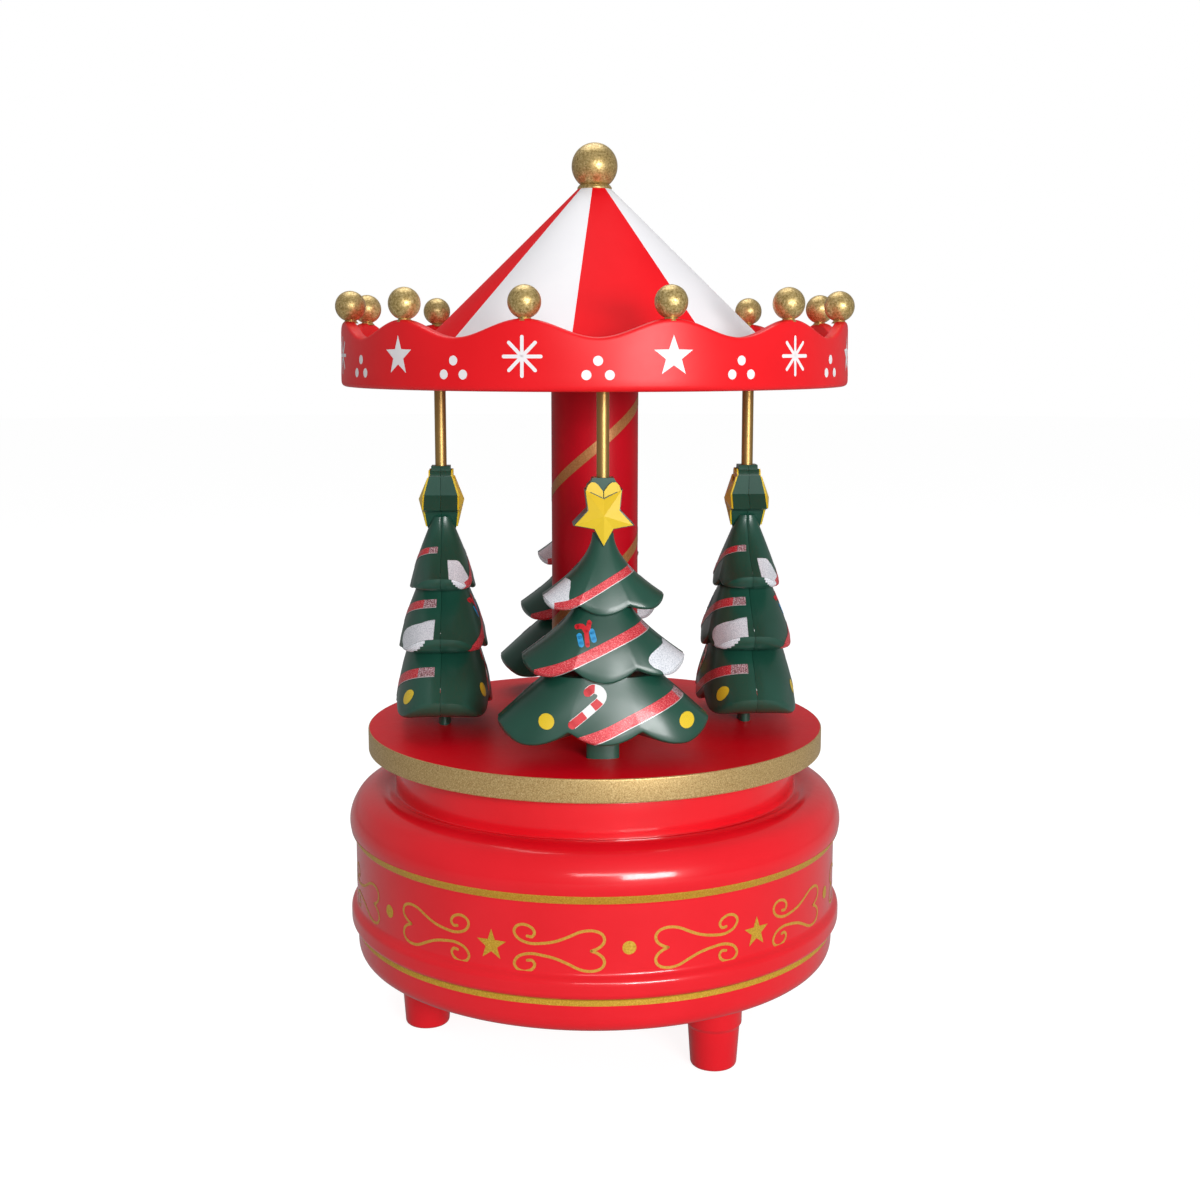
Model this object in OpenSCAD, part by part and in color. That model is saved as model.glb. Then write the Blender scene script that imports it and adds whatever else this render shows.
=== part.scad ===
// Carousel music box: a clockwork movement in a round base turns a platform with
// four trees, a centre column and a tent canopy. Millimetres, +Z up, origin on the
// table under the middle of the base.

/* [Base] */
// Radius of the decorated band round the base
band_r = 48.3; // [46:0.1:50]
// Height of the base's lower rim above the table
rim_z = 15.7; // [15:0.1:17]
// Height of the flat top of the base's neck
neck_top_z = 55.9; // [55.5:0.1:56.2]
// Radius of the neck under the platform
neck_r = 40; // [39.5:0.1:41]
// Radius of the ring that the three feet stand on
foot_ring_r = 34.8; // [33:0.1:36]
// Direction of the first foot, from +X
foot_turn = -49; // [-52:1:-46]

/* [Carousel] */
// Radius of the turning platform
platform_r = 45.5; // [44:0.1:47]
// Height of the platform's top face
platform_z = 61.5; // [61.2:0.1:62]
// Radius of the centre column
column_r = 8.55; // [8:0.05:9]
// Radius of the circle on which the trees stand
tree_ring_r = 30.3; // [29:0.1:31]
// Number of trees, which the node list repeats
tree_count = 4; // [4:4]
// Turn of the carousel at rest, about its axis
rest_turn = 0.85; // [0:0.05:45]
// How far the trees stand round from the scallops' valleys
tree_turn = 2.1; // [0:0.1:10]

/* [Canopy] */
// Outer radius of the scalloped skirt
skirt_r = 49; // [48:0.1:50]
// Height of the skirt's lower edge
skirt_z = 128.8; // [128:0.1:129]
// Depth of a scallop, from peak to valley
scallop_depth = 3.2; // [2:0.1:4]
// Number of balls and scallops round the skirt
ball_count = 12; // [8:4:12]
// Radius of a rim ball
ball_r = 2.85; // [2.4:0.05:3]
// Overall height to the top of the finial ball
total_z = 175; // [174:0.5:176]

/* [Movement] */
// Module of the great wheel's face teeth
great_module = 0.7; // [0.7:0.7]
// Teeth on the great wheel
great_teeth = 40; // [40:40]
// Teeth on the cylinder's pinion
cylinder_pinion_teeth = 16; // [16:16]
// Notes of the comb, and tracks of pins on the cylinder
notes = 18; // [12:18]
// Radius of the pinned cylinder
drum_r = 4.6; // [4.4:0.1:4.8]

/* [Hidden] */
$fn = 96;
eps = 0.01;
run_gap = 0.04;      // radial clearance of a shaft that turns in its bearing

// Base
shell_wall_r = band_r - 2.4;
rim_round = 2.2;
bead_r = 2.8;
bead_z = 24.3;
bulge_r = 3.4;
bulge_z = 42.7;
deck_t = 2;
plate_z = 17;
plate_t = 2;
plate_r = shell_wall_r - 0.2;
foot_angles = [for (i = [0:2]) foot_turn + 120 * i];
foot_top_r = 5.5;
foot_low_r = 4.7;
shell_screw_ring_r = 41.6;
shell_screw_angles = [60, 180, 300];
shell_boss_r = 3;

// Movement: the cylinder's axis lies along +X
bed_z = 21;
bed_t = 1.8;
bed_top = bed_z + bed_t;
bed_holes = [[-17, 13], [-17, -13], [27, 4]];
arbor_r = 1.6;
barrel_r = 13.6;
barrel_z = 24.8;
spring_h = 4.2;
great_z = 33;                        // plane at the root of the face teeth
great_add = 0.8 * great_module;
great_ded = great_module;
great_pitch_r = great_module * great_teeth / 2;
great_face = 2.4;
pinion_r = great_module * cylinder_pinion_teeth / 2;
cyl_z = great_z + great_ded + pinion_r;
cyl_arbor_r = 1;
gov_arbor_r = 0.7;
drum_x = 19.6;
drum_l = 19;
track = drum_l / (notes + 1);
pin_h = 0.5;
pin_r = 0.22;
pin_rows = 5;
comb_tip_y = -(drum_r + pin_h + 0.1);
train_module = 0.5;
cyl_wheel_teeth = 36;
gov_pinion_teeth = 12;
cyl_wheel_x = 39;
wheel_t = 1.2;
gov_y = train_module * (cyl_wheel_teeth + gov_pinion_teeth) / 2;
worm_module = 0.4;
worm_wheel_teeth = 24;
worm_wheel_r = worm_module * worm_wheel_teeth / 2;
worm_wheel_x = 34;
worm_wheel_t = 1;
worm_r = 1.4;
worm_lead = PI * worm_module;
worm_x = worm_wheel_x + worm_wheel_t / 2;
worm_y = gov_y + worm_wheel_r + worm_r;
worm_turns = 5;

// Carousel
platform_t = 4.5;
platform_wall = 2;
hub_r = 5;
spindle_r = 2;
spindle_top = platform_z - 1.2;
column_wall = 1.7;
spigot_r = column_r - column_wall;
spigot_l = 5;
deck_z = skirt_z + 1.4;              // underside of the canopy's deck
deck_top = deck_z + 2;
rod_r = 1.15;
rod_low = 104;
rod_top = deck_top + 2.4;
rod_boss_r = 2.6;
slot_w = 6;
slot_t = 2.2;

// Canopy
skirt_wall = 2.4;
peak_z = 141;
ball_ring_r = skirt_r - skirt_wall / 2 - 0.35;
ball_z = peak_z + 2.75;
roof_slope = 1.03;                   // radius gained for each millimetre down
roof_top_r = 2.6;
roof_top_z = 166.9;
roof_low_r = roof_top_r + (roof_top_z - deck_top) * roof_slope;
roof_wall = 1.6;
finial_r = 4.43;
finial_z = total_z - finial_r;

// Tree: each tier is [top z, half width, half depth, tip z, half width, half depth, low z, flare]
tiers = [
    [103.0, 2.05, 1.95, 91.4, 10.95, 6.4, 88.8, 1.75],
    [ 90.0, 5.40, 5.00, 80.7, 14.75, 8.7, 75.9, 1.35],
    [ 77.6, 10.2, 7.20, 67.7, 19.20, 9.5, 63.7, 0.85]
];
tier_steps = [0, 0.3, 0.55, 0.8, 1];
rim_drop = 0.7;
rim_in = 0.8;
valley_angle = 68;
tree_sides = 16;
star_z = 107;
star_out = 5.9;
star_in = 2.8;
star_half_t = 3.5;
star_peak = 4.3;

// ---------- shared shapes ----------

// A cylinder along +X from x0 to x1
module bar_x(x0, x1, y, z, r) {
    translate([x0, y, z]) rotate([0, 90, 0]) cylinder(r = r, h = x1 - x0);
}

// Places its children at each of the trees' places; local +Y points outwards
module at_tree(k) {
    rotate([0, 0, rest_turn + tree_turn + 90 * k - 90]) translate([tree_ring_r, 0, 0])
        rotate([0, 0, -90]) children();
}

// A pan-head screw along +Z with its head's underside at z = 0
module screw(r, l, head_r, head_h) {
    difference() {
        union() {
            translate([0, 0, -head_h]) cylinder(r1 = head_r * 0.86, r2 = head_r, h = head_h);
            cylinder(r = r, h = l);
        }
        for (a = [0, 90]) rotate([0, 0, a]) translate([-head_r * 0.62, -0.2, -head_h - eps])
            cube([head_r * 1.24, 0.4, head_h * 0.55]);
    }
}

// One point of an involute at roll angle t from base radius b
function involute(b, t) = [b * (cos(t) + t * PI / 180 * sin(t)), b * (sin(t) - t * PI / 180 * cos(t))];
function turned(p, a) = [p.x * cos(a) - p.y * sin(a), p.x * sin(a) + p.y * cos(a)];
function roll_to(b, r) = sqrt(max(0, (r / b) * (r / b) - 1)) * 180 / PI;
function involute_turn(b, r) = let (p = involute(b, roll_to(b, r))) atan2(p.y, p.x);

// Spur gear outline with a tooth centred on +X; thick is the tooth's share of the pitch
module gear_2d(m, teeth, thick = 0.4, add = 0.8, ded = 1.05) {
    pitch = m * teeth / 2;
    base = pitch * cos(20);
    tip = pitch + m * add;
    root = pitch - m * ded;
    half = 180 * thick / teeth;
    start = max(base, root);
    flank = [for (i = [0:3]) let (r = start + (tip - start) * i / 3)
        turned([r, 0], -half - involute_turn(base, pitch) + involute_turn(base, r))];
    tooth = concat([turned([root, 0], -half - involute_turn(base, pitch))], flank,
        [for (i = [3:-1:0]) [flank[i].x, -flank[i].y]],
        [turned([root, 0], half + involute_turn(base, pitch))]);
    polygon([for (k = [0:teeth - 1]) each [for (p = tooth) turned(p, 360 * k / teeth)]]);
}

// A closed skin over rows of points, each row a ring that runs clockwise about the way the rows go
module skin(rows) {
    n = len(rows[0]);
    m = len(rows);
    points = [for (row = rows) each row];
    faces = concat(
        [[for (i = [n - 1:-1:0]) i]],
        [for (j = [0:m - 2], i = [0:n - 1]) each [
            [j * n + i, j * n + (i + 1) % n, (j + 1) * n + (i + 1) % n],
            [j * n + i, (j + 1) * n + (i + 1) % n, (j + 1) * n + i]]],
        [[for (i = [0:n - 1]) (m - 1) * n + i]]);
    polyhedron(points, faces);
}

// A right-hand helical ridge: section is a list of [r, z], swept from z0 by a number of turns
module helix(section, lead, turns, z0, start_angle, steps = 16) {
    skin([for (i = [0:turns * steps]) let (a = start_angle + 360 * i / steps)
        [for (p = section) [p[0] * cos(a), p[0] * sin(a), z0 + lead * i / steps + p[1]]]]);
}

// ---------- base ----------

module base_outline() {
    translate([0, rim_z]) square([band_r - rim_round, rim_round]);
    translate([0, rim_z + rim_round]) square([band_r, bulge_z - rim_z - rim_round]);
    translate([band_r - rim_round, rim_z + rim_round]) circle(r = rim_round);
    translate([band_r + 1 - bead_r, bead_z]) circle(r = bead_r);
    translate([band_r + 1.1 - bulge_r, bulge_z]) circle(r = bulge_r);
    polygon([[0, bulge_z], [band_r - 1, bulge_z], [47.4, 46.2], [46.7, 47.7], [45.6, 49.1], [44, 50.4],
        [42.2, 51.2], [neck_r, 51.4], [neck_r, neck_top_z], [0, neck_top_z]]);
    translate([neck_r, 51.3]) circle(r = 0.9);
}

module base_hollow() {
    polygon([[0, 0], [shell_wall_r, 0], [shell_wall_r, 45], [44.6, 47.6], [42.4, 49.3], [39.6, 50],
        [neck_r - 2, 50.4], [neck_r - 2, neck_top_z - deck_t], [0, neck_top_z - deck_t]]);
}

module shell_boss_posts() {
    for (a = shell_screw_angles) rotate([0, 0, a]) translate([shell_screw_ring_r, 0, plate_z + plate_t])
        cylinder(r = shell_boss_r, h = 14);
    for (a = shell_screw_angles) rotate([0, 0, a]) translate([shell_screw_ring_r, -0.8, plate_z + plate_t])
        cube([shell_wall_r + 0.6 - shell_screw_ring_r, 1.6, 14]);
}

module base_shell() {
    color("crimson") difference() {
        union() {
            rotate_extrude() difference() {
                base_outline();
                base_hollow();
            }
            shell_boss_posts();
            translate([0, 0, neck_top_z - deck_t - 1.5]) cylinder(r = hub_r + 2.5, h = deck_t);
        }
        translate([0, 0, neck_top_z - deck_t - 3]) cylinder(r = hub_r + run_gap, h = deck_t + 4);
        for (a = shell_screw_angles) rotate([0, 0, a]) translate([shell_screw_ring_r, 0, plate_z])
            cylinder(r = 1, h = 12);
    }
}

module bottom_plate() {
    color("firebrick") difference() {
        union() {
            translate([0, 0, plate_z]) cylinder(r = plate_r, h = plate_t);
            for (p = bed_holes) translate([p.x, p.y, plate_z]) cylinder(r = 3, h = bed_z - plate_z);
        }
        translate([0, 0, plate_z - 1]) cylinder(r = 5, h = plate_t + 2);
        for (a = foot_angles) rotate([0, 0, a]) translate([foot_ring_r, 0, plate_z - 1])
            cylinder(r = 2.5, h = plate_t + 2);
        for (a = shell_screw_angles) rotate([0, 0, a]) translate([shell_screw_ring_r, 0, plate_z - 1])
            cylinder(r = 1.35, h = plate_t + 2);
        for (p = bed_holes) translate([p.x, p.y, plate_z - 1]) cylinder(r = 1.2, h = 8);
        // Slots that let the sound out under the comb
        for (i = [0:4]) translate([4 + 4.5 * i, -13, plate_z - 1]) cube([1.8, 9, plate_t + 2]);
    }
}

module foot(k) {
    color("crimson") rotate([0, 0, foot_angles[k]]) translate([foot_ring_r, 0, 0]) rotate_extrude()
        polygon([[0, 0], [foot_low_r - 1, 0], [foot_low_r - 0.3, 0.3], [foot_low_r, 1],
            [foot_top_r - 0.15, 11.5], [foot_top_r + 0.35, 12.2], [foot_top_r + 0.35, plate_z],
            [2.46, plate_z], [2.46, plate_z + plate_t + 0.8], [0, plate_z + plate_t + 0.8]]);
}

module shell_screws() {
    color("silver") for (a = shell_screw_angles) rotate([0, 0, a])
        translate([shell_screw_ring_r, 0, plate_z]) screw(0.98, 9, 2.2, 1.1);
}

// ---------- movement, fixed parts ----------

module bedplate() {
    color("darkgray") difference() {
        translate([0, 0, bed_z]) linear_extrude(bed_t) polygon([
            [-21, -10], [-21, 10], [-17, 17], [-5, 19], [28, 23.5], [36, 23.5], [42.6, 14],
            [42.6, -5], [39, -21], [36, -22.8], [19, -22.8], [-5, -17], [-17, -17]]);
        translate([0, 0, bed_z - 1]) cylinder(r = arbor_r + run_gap, h = bed_t + 2);
        for (p = bed_holes) translate([p.x, p.y, bed_z - 1]) cylinder(r = 1, h = bed_t + 2);
    }
}

module bedplate_screws() {
    color("silver") for (p = bed_holes) translate([p.x, p.y, plate_z]) screw(0.98, bed_top - plate_z, 2, 1);
}

comb_heel_y = -14;
comb_back_y = -22;
comb_t = 1;
comb_screws_x = [drum_x + 4.5, drum_x + drum_l - 4.5];
comb_screws_y = (comb_back_y + comb_heel_y - 1) / 2;
module comb_block() {
    color("gray") difference() {
        translate([drum_x, comb_back_y, bed_top])
            cube([drum_l, comb_heel_y - comb_back_y - 1, cyl_z - comb_t / 2 - bed_top]);
        for (x = comb_screws_x) translate([x, comb_screws_y, cyl_z - 6]) cylinder(r = 0.9, h = 8);
    }
}

module comb() {
    color("gainsboro") difference() {
        union() {
            translate([drum_x, comb_back_y, cyl_z - comb_t / 2])
                cube([drum_l, comb_heel_y - comb_back_y, comb_t]);
            for (i = [1:notes]) {
                reach = comb_tip_y - comb_heel_y;
                translate([drum_x + track * i - track * 0.38, comb_heel_y - eps, cyl_z - 0.25])
                    cube([track * 0.76, reach + eps, 0.5]);
            }
        }
        for (x = comb_screws_x) translate([x, comb_screws_y, cyl_z - 2]) cylinder(r = 1, h = 4);
    }
}

module comb_screws() {
    color("silver") for (x = comb_screws_x) translate([x, comb_screws_y, cyl_z + comb_t / 2])
        mirror([0, 0, 1]) screw(0.88, 5, 1.9, 1);
}

// An upright that holds the cylinder's inner end, just outside the great wheel
module cylinder_bearing() {
    color("darkgray") difference() {
        union() {
            translate([17, -4, bed_top]) cube([1.4, 8, cyl_z - bed_top]);
            bar_x(17, 18.4, 0, cyl_z, 4);
        }
        bar_x(16, 20, 0, cyl_z, cyl_arbor_r + run_gap);
    }
}

module governor_bearing() {
    color("darkgray") difference() {
        union() {
            translate([31, gov_y - 2.4, bed_top]) cube([1.2, 4.8, cyl_z - bed_top]);
            bar_x(31, 32.2, gov_y, cyl_z, 2.4);
        }
        bar_x(30, 33, gov_y, cyl_z, gov_arbor_r + run_gap);
    }
}

module outer_bearing() {
    color("darkgray") difference() {
        union() {
            translate([40.9, -4, bed_top]) cube([1.2, gov_y + 6.2, cyl_z - bed_top]);
            bar_x(40.9, 42.1, 0, cyl_z, 4);
            bar_x(40.9, 42.1, gov_y, cyl_z, 2.2);
        }
        bar_x(40, 43, 0, cyl_z, cyl_arbor_r + run_gap);
        bar_x(40, 43, gov_y, cyl_z, gov_arbor_r + run_gap);
    }
}

worm_low = cyl_z - 4.4;
worm_high = cyl_z + 4.6;
module governor_frame() {
    color("darkgray") difference() {
        union() {
            translate([worm_x - 2, worm_y + 2.6, bed_top]) cube([4, 1.6, worm_high + 1 - bed_top]);
            for (z = [worm_low - 1, worm_high]) translate([worm_x - 1.5, worm_y - 1.2, z])
                cube([3, 4.6, 1]);
        }
        translate([worm_x, worm_y, worm_low - 2]) cylinder(r = 0.5 + run_gap, h = worm_high - worm_low + 4);
    }
}

// A wrap spring round the winding arbor: it lets the key wind but not run back
module click_spring() {
    wire = [[1.68, -0.2], [2.1, -0.2], [2.1, 0.2], [1.68, 0.2]];
    color("lightsteelblue") helix(wire, 0.5, 3, bed_z - 1.75, 0);
}

// ---------- winding ----------

module wind_key() {
    color("goldenrod") difference() {
        union() {
            translate([0, 0, 6]) cylinder(r = 3.4, h = 9.2);
            rotate([90, 0, 0]) translate([0, 0, -0.9]) linear_extrude(1.8) difference() {
                union() {
                    for (s = [-1, 1]) translate([6.6 * s, 7]) circle(r = 4.6);
                    translate([-7, 5.4]) square([14, 4.6]);
                }
                for (s = [-1, 1]) translate([7.2 * s, 7]) circle(r = 2);
            }
        }
        translate([0, 0, 8]) cylinder(r = arbor_r, h = 10);
    }
}

module winding_arbor() {
    color("lightgray") {
        translate([0, 0, 8]) cylinder(r = arbor_r, h = 28 - 8);
        translate([0, 0, bed_top + 0.1]) cylinder(r = 2.4, h = 1);
        translate([0, 0, barrel_z + 0.4]) cylinder(r = 2.5, h = spring_h);
        translate([0, 0, barrel_z]) cylinder(r = arbor_r, h = great_z - 0.9 - barrel_z);
    }
}

// ---------- rotor: barrel and drive ----------

// Straight-sided teeth that stand up from the great wheel's rim; a gap is centred on +X
module face_teeth() {
    inner = great_pitch_r - great_face / 2;
    outer = great_pitch_r + great_face / 2;
    step = 360 / great_teeth;
    low_half = step * 0.2 + great_ded * tan(20) / great_pitch_r * 180 / PI;
    high_half = step * 0.2 - great_add * tan(20) / great_pitch_r * 180 / PI;
    for (i = [0:great_teeth - 1]) {
        a = step * (i + 0.5);
        skin([
            [for (q = [[inner, low_half], [outer, low_half], [outer, -low_half], [inner, -low_half]])
                [q[0] * cos(a + q[1]), q[0] * sin(a + q[1]), great_z - 0.3]],
            [for (q = [[inner, high_half], [outer, high_half], [outer, -high_half], [inner, -high_half]])
                [q[0] * cos(a + q[1]), q[0] * sin(a + q[1]), great_z + great_ded + great_add]]
        ]);
    }
}

module spring_barrel() {
    color("darkkhaki") {
        difference() {
            union() {
                translate([0, 0, great_z - 1.5]) cylinder(r = great_pitch_r + great_face / 2 + 0.3, h = 1.5);
                translate([0, 0, barrel_z]) cylinder(r = barrel_r, h = great_z - barrel_z - 1);
            }
            translate([0, 0, barrel_z - 1]) difference() {
                cylinder(r = barrel_r - 1, h = great_z - barrel_z - 0.5);
                translate([0, 0, great_z - barrel_z - 2.5]) cylinder(r = 3.2, h = 5);
            }
            translate([0, 0, barrel_z - 1]) cylinder(r = arbor_r + run_gap, h = great_z - barrel_z + 0.3);
        }
        face_teeth();
    }
}

module barrel_cover() {
    color("darkkhaki") translate([0, 0, barrel_z - 0.8]) difference() {
        cylinder(r = barrel_r, h = 0.8);
        translate([0, 0, -1]) cylinder(r = 2.9, h = 3);
    }
}

module mainspring() {
    coils = 7;
    inner = 3.0;
    outer = barrel_r - 1.3;
    strip = 0.35;
    steps = coils * 20;
    mid = [for (i = [0:steps]) inner + (outer - inner) * i / steps];
    color("slategray") translate([0, 0, barrel_z + 0.4]) linear_extrude(spring_h) polygon(concat(
        [for (i = [0:steps]) [(mid[i] - strip / 2) * cos(18 * i), (mid[i] - strip / 2) * sin(18 * i)]],
        [for (i = [steps:-1:0]) [(mid[i] + strip / 2) * cos(18 * i), (mid[i] + strip / 2) * sin(18 * i)]]));
}

module drive_spindle() {
    color("lightgray") difference() {
        union() {
            translate([0, 0, great_z]) cylinder(r = 4.5, h = 1.4);
            translate([0, 0, great_z]) cylinder(r = spindle_r, h = spindle_top - great_z);
        }
        translate([0, 0, spindle_top - 6]) cylinder(r = 0.9, h = 8);
    }
}

// ---------- rotor: carousel ----------

module platform() {
    color("crimson") difference() {
        union() {
            rotate_extrude() {
                translate([0, platform_z - platform_wall]) square([platform_r, platform_wall]);
                translate([platform_r - platform_wall, platform_z - platform_t])
                    square([platform_wall, platform_t]);
                translate([0, platform_z - 11]) square([hub_r, 11]);
                translate([spigot_r - 1.4, platform_z - eps]) square([1.35, spigot_l]);
            }
            for (a = [45:90:315]) rotate([0, 0, a]) translate([hub_r - 1, -0.6, platform_z - 3.6])
                cube([platform_r - hub_r - 0.5, 1.2, 2]);
        }
        translate([0, 0, platform_z - 12])
            cylinder(r = spindle_r + 0.02, h = spindle_top - platform_z + 12.01);
        translate([0, 0, platform_z - 5]) cylinder(r = 1.1, h = 8);
        for (k = [0:tree_count - 1]) at_tree(k)
            translate([-slot_w / 2 - 0.1, -slot_t / 2 - 0.1, platform_z - 4])
                cube([slot_w + 0.2, slot_t + 0.2, 6]);
    }
}

module platform_screw() {
    color("silver") translate([0, 0, platform_z]) mirror([0, 0, 1]) screw(0.88, 6.5, 2.4, 1.2);
}

module column() {
    color("crimson") rotate_extrude() translate([spigot_r, platform_z])
        square([column_wall, deck_z - platform_z]);
}

module canopy_skirt() {
    valley_half = 11.4;
    cut_r = (valley_half * valley_half + scallop_depth * scallop_depth) / (2 * scallop_depth);
    color("crimson") difference() {
        union() {
            rotate_extrude() {
                translate([skirt_r - skirt_wall, skirt_z]) square([skirt_wall, peak_z - skirt_z]);
                translate([0, deck_z]) square([skirt_r - 0.5, deck_top - deck_z]);
                translate([spigot_r - 1.4, deck_z - spigot_l]) square([1.35, spigot_l + eps]);
                translate([roof_low_r - 5.3, deck_top - eps]) square([1.1, 1.6]);
            }
            for (k = [0:tree_count - 1]) at_tree(k) translate([0, 0, deck_z])
                cylinder(r = rod_boss_r, h = rod_top - deck_z + 1);
        }
        for (i = [0:ball_count - 1]) rotate([0, 0, rest_turn + 360 * i / ball_count])
            translate([20, 0, peak_z - scallop_depth + cut_r]) rotate([0, 90, 0])
                cylinder(r = cut_r, h = 40);
        for (k = [0:tree_count - 1]) at_tree(k) translate([0, 0, deck_z - 1])
            cylinder(r = rod_r + 0.03, h = rod_top - deck_z + 1);
        for (i = [0:ball_count - 1]) rotate([0, 0, rest_turn + 360 * (i + 0.5) / ball_count])
            translate([ball_ring_r, 0, peak_z - 2]) cylinder(r = 0.75, h = 4);
    }
}

module canopy_roof() {
    color("red") difference() {
        rotate_extrude() polygon([
            [0, roof_top_z], [roof_top_r, roof_top_z], [roof_low_r, deck_top],
            [roof_low_r - 1.5 * roof_wall, deck_top],
            [roof_top_r - roof_wall + 0.4, roof_top_z - 2.6], [0, roof_top_z - 2.6]]);
        translate([0, 0, roof_top_z - 5]) cylinder(r = 1.2, h = 8);
        for (k = [0:tree_count - 1]) at_tree(k) translate([0, 0, deck_top - 1])
            cylinder(r = rod_boss_r + 0.2, h = rod_top - deck_top + 2.2);
    }
}

module finial() {
    color("goldenrod") {
        difference() {
            translate([0, 0, finial_z]) sphere(r = finial_r);
            translate([0, 0, roof_top_z - finial_r]) cylinder(r = finial_r, h = finial_r);
        }
        translate([0, 0, roof_top_z]) cylinder(r1 = 3.1, r2 = 2.5, h = 1.2);
        translate([0, 0, roof_top_z - 3]) cylinder(r = 1.15, h = 4);
    }
}

module rim_balls() {
    color("goldenrod") for (i = [0:ball_count - 1]) rotate([0, 0, rest_turn + 360 * (i + 0.5) / ball_count])
        translate([ball_ring_r, 0, 0]) {
            translate([0, 0, ball_z]) sphere(r = ball_r);
            translate([0, 0, peak_z]) cylinder(r = 1.1, h = 1);
            translate([0, 0, peak_z - 1.6]) cylinder(r = 0.72, h = 2);
        }
}

module rod(k) {
    color("goldenrod") at_tree(k) translate([0, 0, rod_low])
        cylinder(r = rod_r, h = rod_top - rod_low - 0.1);
}

// ---------- trees ----------

// Height share of a tier's wavy edge at angle a: 1 at the side tips, 0 at the middle lobe
function edge_share(a) = let (b = a > 90 ? 180 - a : a)
    b < 43 ? 0.18 + 0.82 * pow(cos(b * 90 / 43), 2) :
    b < valley_angle ? 0.18 + 0.37 * pow((b - 43) / (valley_angle - 43), 2) :
    0.55 * pow((90 - b) / (90 - valley_angle), 2);

function edge_z(t, a) = t[6] + (t[3] - t[6]) * edge_share(a);
function tier_w(t, s) = t[1] + (t[4] - t[1]) * pow(s, t[7]);
function tier_d(t, s) = t[2] + (t[5] - t[2]) * pow(s, 1.05);

// One row of points round half a tier, at share s of the way from its top to its edge
function tier_row(t, s) = [for (i = [0:tree_sides]) let (a = 180 * i / tree_sides)
    [tier_w(t, s) * cos(a), tier_d(t, s) * sin(a), t[0] + (edge_z(t, a) - t[0]) * s]];

// The rim under a tier's edge, stepped in and down
function rim_row(t) = [for (i = [0:tree_sides]) let (a = 180 * i / tree_sides)
    [(t[4] - rim_in) * cos(a), (t[5] - rim_in) * sin(a), edge_z(t, a) - rim_drop]];

module tree_body() {
    low = tiers[2][3] - rim_drop - 0.6;
    rows = concat(
        [for (t = tiers) each concat([for (s = tier_steps) tier_row(t, s)], [rim_row(t)])],
        [[for (i = [0:tree_sides]) let (a = 180 * i / tree_sides) [4 * cos(a), 3 * sin(a), low]]]);
    skin(rows);
}

function star_points(r_out, r_in) = [for (i = [0:9]) let (r = i % 2 == 0 ? r_out : r_in, a = -90 + 36 * i)
    [r * cos(a), r * sin(a)]];

module tree_half() {
    difference() {
        union() {
            tree_body();
            translate([0, star_half_t, star_z]) rotate([90, 0, 0]) linear_extrude(star_half_t)
                polygon(star_points(star_out, star_in));
            translate([0, 0, star_z]) rotate([90, 0, 0]) mirror([0, 0, 1]) star_relief();
            translate([-2.4, 0, star_z]) cube([4.8, 2, 5.9]);
            translate([-slot_w / 2, 0, platform_z - 2.5]) cube([slot_w, slot_t / 2, 9]);
        }
        translate([0, 0, rod_low]) cylinder(r = rod_r + 0.02, h = 20);
    }
}

// A faceted peak over the star, on top of its block
module star_relief() {
    outline = star_points(star_out, star_in);
    points = concat(
        [for (p = outline) [p.x, p.y, star_half_t - 0.3]],
        [for (p = outline) [p.x, p.y, star_half_t]],
        [[0, 0, star_peak], [0, 0, star_half_t - 0.3]]);
    polyhedron(points, [for (i = [0:9]) let (j = (i + 1) % 10) each
        [[i, j, 21], [j, i, 10 + i], [j, 10 + i, 10 + j], [10 + j, 10 + i, 20]]]);
}

module tree_outer(k) {
    color("darkgreen") at_tree(k) tree_half();
}

module tree_inner(k) {
    color("darkgreen") at_tree(k) rotate([0, 0, 180]) tree_half();
}

// ---------- cylinder ----------

module cylinder_arbor() {
    color("lightgray") bar_x(great_pitch_r - great_face / 2 - 0.6, 42.6, 0, cyl_z, cyl_arbor_r);
}

// A drum with pins in a pattern of steps, with no tune behind it
module tune_cylinder() {
    color("goldenrod") difference() {
        union() {
            bar_x(drum_x, drum_x + drum_l, 0, cyl_z, drum_r);
            for (i = [1:notes], j = [0:pin_rows - 1]) {
                a = 360 / pin_rows * j + (i * 47 + j * j * 11) % 60;
                translate([drum_x + track * i, 0, cyl_z]) rotate([a, 0, 0]) translate([0, 0, drum_r - 0.5])
                    cylinder(r = pin_r, h = pin_h + 0.5);
            }
        }
        bar_x(drum_x - 1, drum_x + drum_l + 1, 0, cyl_z, cyl_arbor_r);
    }
}

module cylinder_pinion() {
    inner_x = great_pitch_r - great_face / 2;
    color("goldenrod") translate([inner_x, 0, cyl_z]) rotate([90, 0, 90]) difference() {
        linear_extrude(great_face) gear_2d(great_module, cylinder_pinion_teeth);
        translate([0, 0, -1]) cylinder(r = cyl_arbor_r + eps, h = great_face + 2);
    }
}

module cylinder_wheel() {
    color("goldenrod") translate([cyl_wheel_x, 0, cyl_z]) rotate([90, 0, 90]) difference() {
        linear_extrude(wheel_t) gear_2d(train_module, cyl_wheel_teeth);
        translate([0, 0, -1]) cylinder(r = cyl_arbor_r + eps, h = wheel_t + 2);
    }
}

// ---------- governor ----------

module governor_arbor() {
    color("lightgray") bar_x(30.6, 42.5, gov_y, cyl_z, gov_arbor_r);
}

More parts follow.
